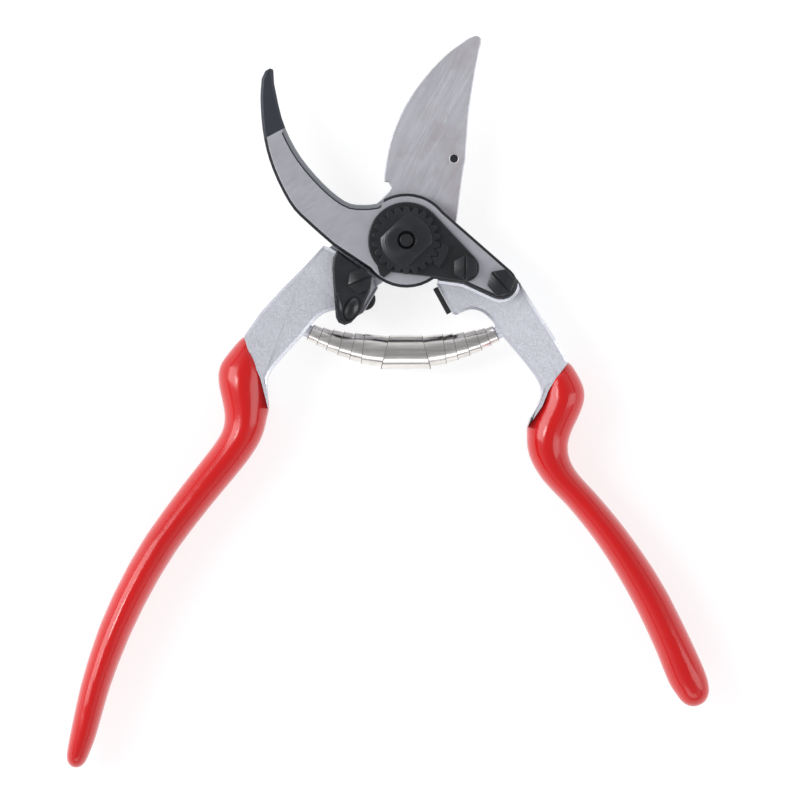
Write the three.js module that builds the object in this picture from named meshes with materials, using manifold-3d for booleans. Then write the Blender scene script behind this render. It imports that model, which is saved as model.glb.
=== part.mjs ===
// One-hand bypass pruning shears, drawn open. Millimetres, +Z up.
// The origin is on the pivot's axis, at the flat outer face of the pivot bolt's head.
// The right handle and the hook stand still. The left handle and the blade turn about +Z to close.
import * as THREE from "three";
import { mergeVertices } from "three/addons/utils/BufferGeometryUtils.js";
import Module from "manifold-3d";

const wasm = await Module();
wasm.setup();

// ---- Driving sizes ----

const CLEARANCE = 0.3; // between pieces that are cut to fit each other
const RUNNING_GAP = 0.25; // round a pin that turns
const LAYER_GAP = 0.15; // between stacked plates
const ROUND_STEPS = 28; // flats on a turned piece
const SHAFT_STEPS = 24; // flats on the catch's round parts
const SMALL_STEPS = 16; // flats on a small pin or hole

// The stack along the pivot, from the bolt's head upwards.
const BOLT_HEAD_THICKNESS = 3.8;
const HEAD_PLATE_THICKNESS = 4.0;
const BLADE_THICKNESS = 3.0;
const HOOK_THICKNESS = 4.5;
const SEGMENT_THICKNESS = 1.2;
const TOOTH_HEIGHT = 1.4;
const NUT_BOSS_HEIGHT = 1.9;

const HEAD_PLATE_Z = BOLT_HEAD_THICKNESS + LAYER_GAP;
const BLADE_Z = HEAD_PLATE_Z + HEAD_PLATE_THICKNESS + LAYER_GAP;
const HOOK_Z = BLADE_Z + BLADE_THICKNESS + LAYER_GAP;
const HOOK_TOP = HOOK_Z + HOOK_THICKNESS;
const SEGMENT_Z = HOOK_TOP + LAYER_GAP;
const SEGMENT_TOP = SEGMENT_Z + SEGMENT_THICKNESS;
const NUT_Z = SEGMENT_TOP + LAYER_GAP;
const NUT_TOP = NUT_Z + TOOTH_HEIGHT + NUT_BOSS_HEIGHT;

// The pivot.
const BOLT_HEAD_RADIUS = 7.5;
const BOLT_RADIUS = 4.0;
const BOLT_END_RADIUS = 1.85;
const BOLT_END_DEPTH = 0.5; // below the nut's face
const NUT_TOOTH_RADIUS = 8.45;
const NUT_ROOT_RADIUS = 7.15;
const NUT_TEETH = 22;
const NUT_BOSS_RADIUS = 6.4;
const NUT_FLATS = 9.8; // across the boss's two flats
const NUT_FLATS_ANGLE = 44;
const NUT_FACE_RADIUS = 3.4; // the flat rim inside the cone
const NUT_RECESS_RADIUS = 2.35;
const NUT_RECESS_DEPTH = 2.2;

// The plates round the pivot.
const HOOK_RING_RADIUS = 11.75;
const HEAD_DISC_RADIUS = 11.2;
const ARM_RING_RADIUS = HOOK_RING_RADIUS + 0.5; // the arms stay outside this circle
const HOOK_CHAMFER = 0.6;
const BLADE_CHAMFER = 0.25;
const GRINDING_WIDTH = 5.0; // of the wedge ground off the blade's far face
const EDGE_THICKNESS = 0.45; // left at the cutting edge
const SEGMENT_DISC_RADIUS = 9.6;
const SEGMENT_TAIL_RADIUS = 3.5;
const SEGMENT_TOOTH_DEPTH = 2.2; // of the raised part, outside the nut's teeth

// The handles' arms.
const ARM_TOP = HOOK_Z + 1.5; // near the head
const ARM_BASE = HEAD_PLATE_Z;
const ARM_RISE = 2.4; // how much deeper the arm is at the coating's edge, on each side
const ARM_RISE_START = 24; // from the pivot
const ARM_RISE_LENGTH = 26;

// The coated grips.
const GRIP_DEPTH = 17.0;
const GRIP_MIDDLE = GRIP_DEPTH / 2;
const COAT = 1.5; // the coating's thickness
const GRIP_SIDES = 16;
const CORE_SIDES = 10;

const CLOSE_ANGLE = 59.5; // degrees that the jaws turn to close
const STOP_GAP = 0.15; // left between the bumper and its stop when closed

// The bumper on the right handle's nose.
const BUMPER_THICKNESS = 1.25;
const BUMPER_LENGTH = 7.25;
const BUMPER_HEIGHT = 6.5;

// The catch.
const CATCH_PIVOT = [-11.6, -10.1];
const CATCH_GAP = 0.3;
const CATCH_THICKNESS = 2.4;
const CATCH_SHAFT_RADIUS = 1.8;
const KNOB_PLACE = [-10.5, -14.5];
const KNOB_RADIUS = 2.8;
const KNOB_THICKNESS = 3.3;
const KNOB_ARM_THICKNESS = 1.6;
const KNOB_ARM_HALF_WIDTH = 3.0;

// The screws.
const SEGMENT_SCREW_PLACE = [14.7, -6.8];
const SEGMENT_SCREW_RADIUS = 3.3;
const HOOK_SCREW_PLACE = [23.6, -10.5];
const HOOK_SCREW_RADIUS = 3.55;
const CATCH_SCREW_RADIUS = 3.2;
const SEGMENT_HEAD_HEIGHT = 1.6;
const HOOK_HEAD_HEIGHT = 2.0;
const CATCH_HEAD_HEIGHT = 1.5;
const SEGMENT_SHANK_LENGTH = 4;
const HOOK_SHANK_LENGTH = 9;
const SEGMENT_SLOT_ANGLE = 90;
const HOOK_SLOT_ANGLE = -49;
const CATCH_SLOT_ANGLE = 22;
const SCREW_SHANK_RADIUS = 1.9;
const SCREW_DOME = 0.5;
const SLOT_WIDTH = 0.55;
const SLOT_DEPTH = 0.5;

// The blade's plug.
const PLUG_PLACE = [11.9, 20.6];
const PLUG_RADIUS = 1.05;

// The volute spring. Its bands lie along a shallow arc and step down from the middle one to each end.
const SPRING_ARC_CENTRE = [-0.4, 29.8];
const SPRING_ARC_RADIUS = 57.6;
const SPRING_Z = 8.5;
const BAND_RADIUS = 4.25; // of the middle band
const BAND_STEP = BAND_RADIUS / 12; // smaller from each band to the next
const BAND_WALL = 0.15;
const BAND_LAP = 0.6;
const BAND_EDGES = [-24.0, -21.6, -19.2, -16.4, -13.5, -10.9, -5.3, 5.0, 9.6, 12.3, 15.2, 18.1, 20.4, 22.4];
const BAND_SIDES = 18;
const BAND_COUNT = BAND_EDGES.length - 1;
const SEAT_RADIUS = 1.6;
const SEAT_LENGTH = 3.5; // outside the end band
const SEAT_REACH = 2.2; // into the end band

// ---- Outlines, in plan. Each point is an [x, y] pair, and smooth() runs a curve through its points. ----

const BLADE_EDGE = [[15.5, 50.6], [9.8, 46.4], [4.3, 40.5], [-0.5, 33.5], [-3.8, 25.5], [-5.4, 17.6],
  [-5.5, 14.8]];
const BLADE_NOTCH = [[-4.4, 14.6], [-3.9, 13.4], [-4.2, 12.5], [-7.2, 9.4]];
const BLADE_SPINE = [[12.6, 5.0], [14.1, 16.9], [14.8, 20.6], [15.5, 31.6], [17.6, 44.7], [18.7, 49.4]];
const BLADE_TIP = [[18.6, 50.6], [18.0, 51.2], [17.2, 51.3]];

const HOOK_OUTSIDE = [[-36.1, 40.4], [-36.4, 34.8], [-35.6, 25.9], [-33.3, 17.6], [-28.9, 8.9], [-24.1, 3.9],
  [-18.2, -1.3]];
const HOOK_TIP = [[-33.2, 42.6], [-34.0, 43.0], [-35.2, 42.3]];
const HOOK_INSIDE = [[-7.4, 9.2], [-10.4, 8.9], [-14.9, 9.6], [-20.6, 14.1], [-26.7, 21.4], [-30.8, 29.7],
  [-33.0, 39.2]];
const HOOK_TAIL_RADIUS = 3.9;

// The thin neck that joins the left handle's arm to its head plate.
const HEAD_NECK = [[-2, 10.5], [-12, 4.5], [-20, -2.2], [-26, -8.5], [-20, -14], [-11.8, -15.5], [-7.9, -11.6],
  [-5, -9.6]];

const LEFT_ARM_OUTSIDE = [[-20.6, -1.2], [-26.1, -7.1], [-31.2, -12.2], [-36.3, -17.8], [-40.5, -23.9]];
const LEFT_DIP = [[-39.6, -27.0], [-37.9, -31.1], [-36.4, -34.4], [-35.5, -38.0], [-34.5, -42.0]];
const LEFT_ARM_INSIDE = [[-34.7, -37.7], [-34.5, -33.6], [-30.0, -28.0], [-26.1, -23.8], [-23.3, -20.3],
  [-21.0, -18.3], [-18.0, -17.3], [-15.4, -17.2], [-13.4, -18.0], [-12.2, -18.7]];
const RIGHT_ARM_OUTSIDE = [[40.5, -30.3], [37.4, -24.8], [27.5, -9.3]];
const RIGHT_DIP = [[30.2, -46.6], [31.5, -44.8], [33.9, -41.3], [35.5, -37.3], [38.0, -33.5]];
const RIGHT_NOSE = [[7.6, -10.8], [11.7, -18.3]];
const RIGHT_ARM_INSIDE = [[12.7, -18.5], [13.7, -17.9], [16.2, -17.1], [18.8, -17.7], [21.3, -19.8],
  [23.6, -23.2], [29.4, -30.1], [33.2, -35.6], [33.4, -39.6], [30.9, -44.5]];

// Each grip's two sides, point against point, from the head to its end, with half its depth there.
const LEFT_GRIP = [
  [[-38.0, -19.0], [-29.6, -26.0], 6.6], [[-43.2, -26.2], [-33.6, -30.6], 7.6],
  [[-46.9, -31.0], [-34.6, -35.0], 8.2], [[-47.2, -35.8], [-34.5, -38.6], 8.5],
  [[-45.8, -41.8], [-34.7, -43.2], 8.4], [[-45.7, -46.4], [-35.7, -48.6], 8.2],
  [[-48.6, -51.4], [-39.8, -55.4], 8.1], [[-56.5, -61.5], [-48.9, -66.4], 8.2],
  [[-66.7, -75.8], [-58.8, -79.6], 8.5], [[-75.4, -92.6], [-67.4, -95.2], 8.4],
  [[-81.0, -108.9], [-73.6, -110.4], 7.8], [[-84.1, -122.6], [-77.4, -123.6], 6.8],
  [[-85.3, -129.0], [-79.9, -130.0], 5.6],
];
const RIGHT_GRIP = [
  [[36.9, -22.6], [27.6, -28.4], 6.6], [[42.6, -32.6], [32.6, -34.6], 7.6],
  [[45.0, -38.0], [34.0, -38.2], 8.3], [[43.6, -43.2], [32.6, -42.0], 8.5],
  [[41.3, -48.0], [30.3, -46.6], 8.4], [[40.4, -52.4], [30.2, -53.0], 8.2],
  [[42.4, -57.4], [34.0, -60.0], 8.1], [[47.6, -63.1], [40.4, -66.6], 8.1],
  [[55.2, -72.3], [48.4, -76.8], 8.4], [[63.8, -84.9], [55.9, -89.2], 8.5],
  [[70.5, -98.0], [61.8, -101.4], 8.2], [[74.9, -107.6], [65.6, -110.9], 7.2],
  [[76.0, -111.4], [67.6, -113.6], 6.2],
];

// ---- Working with shapes ----

const radians = (degrees) => (degrees * Math.PI) / 180;
const vector = ([x, y]) => new THREE.Vector2(x, y);
const pair = (v) => [v.x, v.y];
const polar = (radius, degrees) => [radius * Math.cos(radians(degrees)), radius * Math.sin(radians(degrees))];

// Points along a curve through the given points, both ends included.
function smooth(points, steps) {
  return new THREE.SplineCurve(points.map(vector)).getPoints(steps).map(pair);
}

// Points along an arc, both ends included. A lower end angle runs clockwise.
function arc([x, y], radius, from, to, steps) {
  const turn = radians(to - from) / steps;
  return Array.from({ length: steps + 1 }, (_, i) => {
    const a = radians(from) + turn * i;
    return [x + radius * Math.cos(a), y + radius * Math.sin(a)];
  });
}

// The point turned about the pivot, or about another centre.
function turned([x, y], degrees, [cx, cy] = [0, 0]) {
  const c = Math.cos(radians(degrees));
  const s = Math.sin(radians(degrees));
  return [cx + (x - cx) * c - (y - cy) * s, cy + (x - cx) * s + (y - cy) * c];
}

// A geometry as a manifold solid with its faces pointing out, and back.
function solidOf(geometry) {
  const bare = geometry.clone();
  bare.deleteAttribute("normal");
  bare.deleteAttribute("uv");
  const merged = mergeVertices(bare, 1e-4);
  const vertProperties = new Float32Array(merged.attributes.position.array);
  const triVerts = new Uint32Array(merged.index.array);
  const solid = new wasm.Manifold(new wasm.Mesh({ numProp: 3, vertProperties, triVerts }));
  if (solid.volume() > 0) return solid;
  for (let i = 0; i < triVerts.length; i += 3) {
    [triVerts[i + 1], triVerts[i + 2]] = [triVerts[i + 2], triVerts[i + 1]];
  }
  return new wasm.Manifold(new wasm.Mesh({ numProp: 3, vertProperties, triVerts }));
}

function geometryOf(solid) {
  const mesh = solid.getMesh();
  const geometry = new THREE.BufferGeometry();
  const positions = new Float32Array(mesh.numVert * 3);
  for (let i = 0; i < mesh.numVert; i++) {
    const start = i * mesh.numProp;
    positions.set(mesh.vertProperties.subarray(start, start + 3), i * 3);
  }
  geometry.setAttribute("position", new THREE.BufferAttribute(positions, 3));
  geometry.setIndex(new THREE.BufferAttribute(new Uint32Array(mesh.triVerts), 1));
  return geometry;
}

// A flat plate of the given outline between two heights, its edges chamfered inside the outline.
function plate(points, low, high, chamfer = 0) {
  const geometry = new THREE.ExtrudeGeometry(new THREE.Shape(points.map(vector)), {
    depth: high - low - 2 * chamfer,
    bevelEnabled: chamfer > 0,
    bevelThickness: chamfer,
    bevelSize: chamfer,
    bevelOffset: -chamfer,
    bevelSegments: 1,
  });
  return solidOf(geometry.translate(0, 0, low + chamfer));
}

// A turned solid about +Z from a profile of [radius, height] points, standing at a place.
function turning(profile, [x, y] = [0, 0], steps = ROUND_STEPS) {
  return solidOf(new THREE.LatheGeometry(profile.map(vector), steps).rotateX(Math.PI / 2).translate(x, y, 0));
}

function pin(radius, low, high, place = [0, 0], steps = ROUND_STEPS) {
  return turning([[0, low], [radius, low], [radius, high], [0, high]], place, steps);
}

// A closed body through rings of points, each ring with as many points.
function skinned(rings) {
  const sides = rings[0].length;
  const faces = [];
  for (let r = 0; r + 1 < rings.length; r++) {
    for (let i = 0; i < sides; i++) {
      const a = r * sides + i;
      const b = r * sides + ((i + 1) % sides);
      faces.push(a, b, a + sides, b, b + sides, a + sides);
    }
  }
  const last = (rings.length - 1) * sides;
  for (let i = 1; i + 1 < sides; i++) {
    faces.push(0, i + 1, i);
    faces.push(last, last + i, last + i + 1);
  }
  const geometry = new THREE.BufferGeometry();
  geometry.setAttribute("position", new THREE.Float32BufferAttribute(rings.flat(2), 3));
  geometry.setIndex(faces);
  return solidOf(geometry);
}

// A rounded bar between two side curves: inset shrinks it all round, and it ends in a dome.
function bar(sections, sides, inset, along, domeSteps) {
  const outside = new THREE.SplineCurve(sections.map((s) => vector(s[0])));
  const inside = new THREE.SplineCurve(sections.map((s) => vector(s[1])));
  const depth = new THREE.SplineCurve(sections.map((s, i) => new THREE.Vector2(i, s[2])));
  const first = outside.getPoint(0).sub(inside.getPoint(0));
  const next = outside.getPoint(0.05).sub(outside.getPoint(0));
  const forward = Math.sign(first.y * next.x - first.x * next.y);
  const rings = [];
  const ring = (t, share, beyond) => {
    const a = outside.getPoint(t);
    const b = inside.getPoint(t);
    const across = b.clone().sub(a);
    const ahead = new THREE.Vector2(-across.y, across.x).normalize().multiplyScalar(forward * beyond);
    const middle = a.clone().add(b).multiplyScalar(0.5).add(ahead);
    const half = across.length() / 2 - inset;
    const high = depth.getPoint(t).y - inset;
    across.normalize();
    rings.push(Array.from({ length: sides }, (_, i) => {
      const angle = (forward * 2 * Math.PI * i) / sides;
      const reach = half * share * Math.cos(angle);
      return [middle.x + across.x * reach, middle.y + across.y * reach,
        GRIP_MIDDLE + high * share * Math.sin(angle)];
    }));
  };
  for (let i = 0; i <= along; i++) ring(i / along, 1, 0);
  const endHalf = outside.getPoint(1).distanceTo(inside.getPoint(1)) / 2 - inset;
  for (let i = 1; i <= domeSteps; i++) {
    const angle = (Math.PI / 2) * (i / (domeSteps + 0.35));
    ring(1, Math.cos(angle), endHalf * Math.sin(angle));
  }
  return skinned(rings);
}

// A node: a named mesh with its own material.
function piece(name, solid, color, roughness, metalness) {
  const material = new THREE.MeshStandardMaterial({ color, roughness, metalness, flatShading: true });
  const mesh = new THREE.Mesh(geometryOf(solid), material);
  mesh.name = name;
  return mesh;
}

const ALUMINIUM = ["#d2d3d9", 0.45, 1];
const COATING = ["#d62a2a", 0.3, 0];
const GROUND_STEEL = ["#acacb4", 0.35, 1];
const BLACK_STEEL = ["#2c2d31", 0.45, 0.6];
const RUBBER = ["#1d1e20", 0.8, 0];
const SPRING_STEEL = ["#b9b5b0", 0.25, 1];

// ---- The jaws ----

// The cutting blade: flat on the hook's side, ground to an edge on the far side.
function cuttingBlade() {
  const edge = smooth(BLADE_EDGE, 22);
  const hub = arc([0, 0], HEAD_DISC_RADIUS, 127, 370, 26);
  const outline = [...edge, ...BLADE_NOTCH, ...hub, ...smooth(BLADE_SPINE, 8), ...BLADE_TIP];
  const body = plate(outline, BLADE_Z, BLADE_Z + BLADE_THICKNESS, BLADE_CHAMFER);
  return body
    .subtract(edgeGrinding(edge))
    .subtract(pin(BOLT_RADIUS + RUNNING_GAP, 0, HOOK_TOP))
    .subtract(pin(PLUG_RADIUS + CLEARANCE / 2, 0, HOOK_TOP, PLUG_PLACE, SMALL_STEPS));
}

// The wedge that the grinding takes off the blade's far face, along its edge.
function edgeGrinding(edge) {
  const low = BLADE_Z - 1;
  const beyond = 3;
  const slope = (BLADE_THICKNESS - EDGE_THICKNESS) / GRINDING_WIDTH;
  const [[tipX, tipY], [nextX, nextY]] = edge;
  const pastTip = [tipX + (tipX - nextX) * 4, tipY + (tipY - nextY) * 4];
  const line = [pastTip, ...edge];
  const rings = line.map(([x, y], i) => {
    const [px, py] = line[Math.max(0, i - 1)];
    const [nx, ny] = line[Math.min(line.length - 1, i + 1)];
    const along = new THREE.Vector2(nx - px, ny - py).normalize();
    const out = [along.y, -along.x];
    const at = (d, z) => [x + out[0] * d, y + out[1] * d, z];
    return [at(beyond, low), at(-GRINDING_WIDTH - 1 / slope, low),
      at(beyond, BLADE_Z + (GRINDING_WIDTH + beyond) * slope)];
  });
  return skinned(rings);
}

// The hook's tail and ring, grown all round by a margin: the right handle's pocket is the grown one.
function tailOutline(grow) {
  const ring = HOOK_RING_RADIUS + grow;
  return [
    ...arc([0, 0], ring, 235, 306, 8),
    [14.2, -10.5 - grow],
    ...arc(HOOK_SCREW_PLACE, HOOK_TAIL_RADIUS + grow, -112, 50, 10),
    ...arc([0, 0], ring, 38, 124, 10),
  ];
}

// The hook: a curved counter blade with a ring round the pivot and a tail screwed to the right handle.
function anvilHook() {
  const outline = [
    ...arc([0, 0], HOOK_RING_RADIUS, 218, 235, 3).slice(0, -1),
    ...tailOutline(0),
    ...smooth(HOOK_INSIDE, 20),
    ...HOOK_TIP,
    ...smooth(HOOK_OUTSIDE, 20),
  ];
  return plate(outline, HOOK_Z, HOOK_TOP, HOOK_CHAMFER)
    .subtract(pin(BOLT_RADIUS + RUNNING_GAP, 0, NUT_TOP))
    .subtract(pin(SCREW_SHANK_RADIUS + CLEARANCE, 0, NUT_TOP, SEGMENT_SCREW_PLACE, SMALL_STEPS))
    .subtract(pin(SCREW_SHANK_RADIUS + CLEARANCE, 0, NUT_TOP, HOOK_SCREW_PLACE, SMALL_STEPS));
}

// The small plug that fills the hole near the blade's spine.
function bladePlug() {
  return pin(PLUG_RADIUS, BLADE_Z + 0.1, BLADE_Z + BLADE_THICKNESS - 0.1, PLUG_PLACE, SMALL_STEPS);
}

// ---- The pivot ----

function pivotBolt() {
  const shankTop = NUT_Z + TOOTH_HEIGHT / 2;
  const end = NUT_TOP - BOLT_END_DEPTH;
  return turning([
    [0, 0], [BOLT_HEAD_RADIUS - 0.6, 0], [BOLT_HEAD_RADIUS, 0.6], [BOLT_HEAD_RADIUS, BOLT_HEAD_THICKNESS],
    [BOLT_RADIUS, BOLT_HEAD_THICKNESS], [BOLT_RADIUS, shankTop], [BOLT_END_RADIUS, shankTop],
    [BOLT_END_RADIUS, end - 0.3], [BOLT_END_RADIUS - 0.3, end], [0, end],
  ]);
}

// The nut's toothed outline, grown by a margin.
function toothOutline(grow) {
  const pitch = 360 / NUT_TEETH;
  const points = [];
  for (let i = 0; i < NUT_TEETH; i++) {
    const a = i * pitch;
    points.push(polar(NUT_ROOT_RADIUS + grow, a));
    points.push(polar(NUT_TOOTH_RADIUS + grow, a + 0.28 * pitch));
    points.push(polar(NUT_TOOTH_RADIUS + grow, a + 0.66 * pitch));
    points.push(polar(NUT_ROOT_RADIUS + grow, a + 0.94 * pitch));
  }
  return points;
}

// The nut: a ring of teeth, and a conical boss with two flats and a recess for the bolt's end.
function pivotNut() {
  const teeth = plate(toothOutline(0), NUT_Z, NUT_Z + TOOTH_HEIGHT);
  const shoulder = NUT_Z + TOOTH_HEIGHT + NUT_BOSS_HEIGHT / 2;
  const boss = turning([
    [0, NUT_Z], [NUT_BOSS_RADIUS, NUT_Z], [NUT_BOSS_RADIUS, shoulder],
    [NUT_FACE_RADIUS, NUT_TOP], [0, NUT_TOP],
  ]);
  const half = NUT_FLATS / 2;
  const flats = [[-20, -half], [20, -half], [20, half], [-20, half]];
  const between = plate(flats.map((p) => turned(p, NUT_FLATS_ANGLE)), NUT_Z - 1, NUT_TOP + 1);
  return teeth
    .add(boss.intersect(between))
    .subtract(pin(BOLT_RADIUS + RUNNING_GAP, 0, NUT_Z + TOOTH_HEIGHT / 2 + CLEARANCE))
    .subtract(pin(NUT_RECESS_RADIUS, NUT_Z, NUT_TOP + 1));
}

// The locking segment: a teardrop plate with a raised toothed part that meshes with the nut.
function lockingSegment() {
  const outline = [
    ...arc([0, 0], SEGMENT_DISC_RADIUS, 46, 221, 22),
    [-6.6, -8.7], [-5.6, -9.3], [-3.8, -7.9], [7.4, -9.2],
    ...arc(SEGMENT_SCREW_PLACE, SEGMENT_TAIL_RADIUS, -95, 46, 10),
  ];
  const raised = [
    ...arc([0, 0], NUT_ROOT_RADIUS, -42, -4, 6),
    ...arc([0, 0], NUT_TOOTH_RADIUS + SEGMENT_TOOTH_DEPTH, -6, -40, 6),
  ];
  const block = plate(raised, SEGMENT_TOP - 0.2, NUT_Z + TOOTH_HEIGHT)
    .subtract(plate(toothOutline(CLEARANCE), SEGMENT_TOP, NUT_TOP));
  return plate(outline, SEGMENT_Z, SEGMENT_TOP, 0.25)
    .add(block)
    .subtract(pin(BOLT_RADIUS + RUNNING_GAP, 0, NUT_TOP))
    .subtract(pin(SCREW_SHANK_RADIUS + CLEARANCE, 0, NUT_TOP, SEGMENT_SCREW_PLACE, SMALL_STEPS));
}

// A slotted screw with a domed hexagon head, from under its head up.
function slottedScrew(place, radius, seat, shankLength, height, slotAngle) {
  const profile = [[0, 0], [radius, 0], [radius, height - SCREW_DOME], [radius * 0.45, height], [0, height]];
  const head = turning(profile, [0, 0], 6);
  const slot = [[-9, -SLOT_WIDTH / 2], [9, -SLOT_WIDTH / 2], [9, SLOT_WIDTH / 2], [-9, SLOT_WIDTH / 2]];
  const cut = plate(slot, height - SLOT_DEPTH - SCREW_DOME / 2, height + 1);
  return head
    .rotate([0, 0, 30])
    .subtract(cut)
    .add(pin(SCREW_SHANK_RADIUS, -shankLength, 0.2, [0, 0], SMALL_STEPS))
    .rotate([0, 0, slotAngle])
    .translate([...place, seat]);
}

function segmentScrew() {
  return slottedScrew(SEGMENT_SCREW_PLACE, SEGMENT_SCREW_RADIUS, SEGMENT_TOP + LAYER_GAP,
    SEGMENT_SHANK_LENGTH, SEGMENT_HEAD_HEIGHT, SEGMENT_SLOT_ANGLE);
}

function hookScrew() {
  return slottedScrew(HOOK_SCREW_PLACE, HOOK_SCREW_RADIUS, HOOK_TOP + LAYER_GAP,
    HOOK_SHANK_LENGTH, HOOK_HEAD_HEIGHT, HOOK_SLOT_ANGLE);
}

// ---- The handles ----

// The region that a handle's arm fills from the side: it deepens from the head to the coating.
function armEnvelope(direction) {
  const middle = (ARM_BASE + ARM_TOP) / 2;
  const half = (ARM_TOP - ARM_BASE) / 2;
  const far = ARM_RISE_START + ARM_RISE_LENGTH;
  const profile = [
    [0, middle - half], [ARM_RISE_START, middle - half], [far, middle - half - ARM_RISE],
    [far + 30, middle - half - ARM_RISE], [far + 30, middle + half + ARM_RISE],
    [far, middle + half + ARM_RISE], [ARM_RISE_START, middle + half], [0, middle + half],
  ];
  const width = 100;
  const geometry = new THREE.ExtrudeGeometry(new THREE.Shape(profile.map(vector)), {
    depth: width, bevelEnabled: false,
  });
  geometry.translate(0, 0, -width / 2).rotateX(Math.PI / 2).rotateZ(radians(direction));
  return solidOf(geometry);
}

// The arm and the core inside the coating, as one casting.
function handleCasting(armOutline, sections, direction) {
  const arm = plate(armOutline, -5, 30).intersect(armEnvelope(direction));
  return arm.add(bar(sections, CORE_SIDES, COAT + CLEARANCE, 20, 3));
}

// The dipped coating: open at its edge line, where the bare arm comes out.
function coating(sections, edgeLine) {
  const head = plate(edgeLine, -10, 40);
  return bar(sections, GRIP_SIDES, 0, 26, 4)
    .subtract(bar(sections, GRIP_SIDES, COAT, 20, 3))
    .subtract(head);
}

// The little round seat on an arm that the spring's end sits over.
function springSeat(bandIndex, inward) {
  const band = bandPlace(bandIndex);
  const outEnd = inward > 0 ? band.length / 2 : -band.length / 2;
  const length = SEAT_LENGTH + SEAT_REACH;
  const middle = outEnd + inward * (length / 2 - SEAT_REACH);
  const geometry = new THREE.CylinderGeometry(SEAT_RADIUS, SEAT_RADIUS, length, SMALL_STEPS);
  geometry.rotateZ(-Math.PI / 2).translate(middle, 0, 0).rotateZ(radians(band.angle));
  return solidOf(geometry.translate(band.centre[0], band.centre[1], SPRING_Z));
}

// Where the left handle meets the bumper when the jaws are closed.
function stopFace() {
  const [top, bottom] = bumperFace();
  const across = new THREE.Vector2(top[0] - bottom[0], top[1] - bottom[1]).normalize();
  const gap = [-across.y * STOP_GAP, across.x * STOP_GAP];
  return [top, bottom].map((p) => turned([p[0] + gap[0], p[1] + gap[1]], -CLOSE_ANGLE));
}

function leftHandle() {
  const [stopTop, stopBottom] = stopFace();
  const outline = [
    ...arc([0, 0], ARM_RING_RADIUS, 218, 231, 3),
    stopTop,
    stopBottom,
    ...smooth([...LEFT_ARM_INSIDE].reverse(), 30),
    ...[...LEFT_DIP].reverse(),
    ...[...LEFT_ARM_OUTSIDE].reverse(),
    [-18.7, -2.0],
  ];
  const disc = pin(HEAD_DISC_RADIUS, HEAD_PLATE_Z, HEAD_PLATE_Z + HEAD_PLATE_THICKNESS);
  const ringRoom = pin(HOOK_RING_RADIUS + CLEARANCE, BLADE_Z, NUT_TOP);
  return handleCasting(outline, LEFT_GRIP, -135)
    .add(plate(HEAD_NECK, HEAD_PLATE_Z, HEAD_PLATE_Z + HEAD_PLATE_THICKNESS))
    .add(disc)
    .add(springSeat(0, -1))
    .subtract(ringRoom)
    .subtract(pin(BOLT_RADIUS + RUNNING_GAP, 0, HOOK_TOP))
    .subtract(pin(CATCH_SHAFT_RADIUS + RUNNING_GAP, 0, NUT_TOP, CATCH_PIVOT, SHAFT_STEPS));
}

function rightHandle() {
  const outline = [
    ...arc([0, 0], ARM_RING_RADIUS, 0, -50, 8),
    ...RIGHT_NOSE,
    ...smooth(RIGHT_ARM_INSIDE, 30),
    ...RIGHT_DIP,
    ...RIGHT_ARM_OUTSIDE,
    [26.0, -7.6], [23.8, -7.4], [15.2, -0.6],
  ];
  const pocket = plate(tailOutline(CLEARANCE + 0.05), HOOK_Z - LAYER_GAP, NUT_TOP);
  return handleCasting(outline, RIGHT_GRIP, -52)
    .add(springSeat(BAND_COUNT - 1, 1))
    .subtract(pocket)
    .subtract(pin(SCREW_SHANK_RADIUS + CLEARANCE, HEAD_PLATE_Z + 1, NUT_TOP, HOOK_SCREW_PLACE, SMALL_STEPS));
}

function leftGrip() {
  const line = [[-46, -19.2], [-40.5, -23.9], ...LEFT_DIP, [-33.4, -46]];
  const [dx, dy] = polar(CLEARANCE, -150);
  const moved = line.map(([x, y]) => [x + dx, y + dy]);
  return coating(LEFT_GRIP, [...moved, [-15, -46], [-15, 5], [-46, 5]]);
}

function rightGrip() {
  const line = [[27, -51], ...RIGHT_DIP, [40.5, -30.3], [45, -27.2]];
  const [dx, dy] = polar(CLEARANCE, -40);
  const moved = line.map(([x, y]) => [x + dx, y + dy]);
  return coating(RIGHT_GRIP, [...moved, [45, 5], [5, 5], [5, -51]]);
}

// ---- The bumper and the catch ----

// The bumper's outer face in plan: the end nearer the pivot, then the far end.
function bumperFace() {
  const [top, bottom] = RIGHT_NOSE.map(vector);
  const along = bottom.clone().sub(top).normalize();
  const out = new THREE.Vector2(along.y, -along.x);
  const spare = (top.distanceTo(bottom) - BUMPER_LENGTH) / 2;
  const stand = out.multiplyScalar(BUMPER_THICKNESS + CLEARANCE / 2);
  const start = top.clone().addScaledVector(along, spare).add(stand);
  return [pair(start), pair(start.clone().addScaledVector(along, BUMPER_LENGTH))];
}

function rubberBumper() {
  const [top, bottom] = bumperFace();
  const across = new THREE.Vector2(top[0] - bottom[0], top[1] - bottom[1]).normalize();
  const back = [-across.y * BUMPER_THICKNESS, across.x * BUMPER_THICKNESS];
  const outline = [
    top, bottom, [bottom[0] - back[0], bottom[1] - back[1]], [top[0] - back[0], top[1] - back[1]],
  ];
  const middle = (ARM_BASE + ARM_TOP) / 2;
  return plate(outline, middle - BUMPER_HEIGHT / 2, middle + BUMPER_HEIGHT / 2, 0.2);
}

const CATCH_OUTLINE = [[-17.3, -2.4], [-18.3, -4.4], [-18.5, -7.0], [-18.1, -13.0], [-17.6, -19.2],
  [-16.9, -20.5], [-15.4, -21.1], [-13.8, -20.5], [-12.1, -18.7], [-11.0, -17.0], [-9.1, -12.6], [-8.7, -10.4],
  [-9.2, -8.6], [-11.0, -6.9]];

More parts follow.
